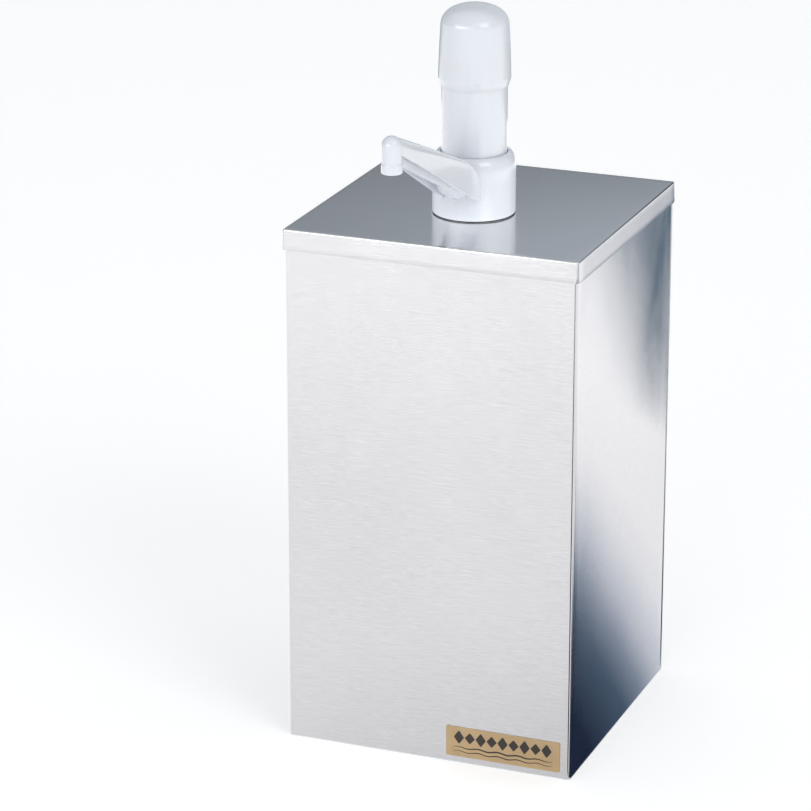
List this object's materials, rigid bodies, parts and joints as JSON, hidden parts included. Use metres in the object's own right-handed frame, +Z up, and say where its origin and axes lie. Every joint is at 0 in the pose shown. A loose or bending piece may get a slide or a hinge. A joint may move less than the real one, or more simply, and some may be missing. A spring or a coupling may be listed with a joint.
{
  "type": "condiment pump dispenser",
  "caption": "Tall stainless box that hides a jar, with a lift-off lid carrying a white plunger pump, a rising spout and a dip tube.",
  "frame": {"origin": "centre of the box's underside, on the counter", "axes": "+Z up through the box; -Y is the front, where the spout points; +X is the viewer's right"},
  "size_m": [0.1906, 0.2528, 0.4655],
  "materials": {
    "brushed_stainless": "fine horizontal brushing, satin",
    "white_plastic": "moulded, semi-gloss, slightly bluish white",
    "natural_plastic": "milky, matt",
    "black_rubber": "matt",
    "bright_steel": "polished stainless",
    "label_tan": "printed foil, satin tan"
  },
  "bodies": {
    "box": {"body_wrap": "brushed_stainless", "back_panel": "brushed_stainless", "base_pan": "brushed_stainless", "label_plate": "label_tan"},
    "lid_unit": {"lid": "brushed_stainless"},
    "pump_body": {"collar_gasket": "black_rubber", "discharge_head": "white_plastic", "wiper_seal": "black_rubber", "plunger_seal": "black_rubber", "gland_ring": "natural_plastic", "spout_arm": "white_plastic", "spout_tube": "white_plastic", "nozzle": "white_plastic", "outlet_valve_seat": "natural_plastic", "nut_washer": "natural_plastic", "lock_nut": "white_plastic", "intake_body": "white_plastic", "barrel_gasket": "black_rubber", "foot_valve_seat": "natural_plastic", "inlet_ball_cage": "natural_plastic", "spring_seat": "bright_steel", "return_spring": "bright_steel", "dip_tube": "natural_plastic"},
    "plunger": {"plunger_plug": "natural_plastic", "plunger_tube": "white_plastic", "knob": "white_plastic"},
    "outlet_valve": {"outlet_ball": "bright_steel"},
    "inlet_valve": {"inlet_ball": "bright_steel"}
  },
  "joints": [
    {"name": "lid_lift", "type": "slide", "parent": "box", "child": "lid_unit", "axis": [0, 0, 1], "range_m": [0, 0.34]},
    {"name": "pump_swivel", "type": "hinge", "parent": "lid_unit", "child": "pump_body", "pos_m": [0, -0.016, 0.335], "axis": [0, 0, 1], "continuous": true},
    {"name": "knob_press", "type": "slide", "parent": "pump_body", "child": "plunger", "axis": [0, 0, -1], "range_m": [0, 0.035], "stiffness_N_per_m": 500, "springref_m": -0.016, "deforming": ["return_spring"]},
    {"name": "outlet_ball_lift", "type": "slide", "parent": "pump_body", "child": "outlet_valve", "axis": [0, -0.9136, 0.4065], "range_m": [0, 0.0035]},
    {"name": "inlet_ball_lift", "type": "slide", "parent": "pump_body", "child": "inlet_valve", "axis": [0, 0, 1], "range_m": [0, 0.0038]}
  ]
}
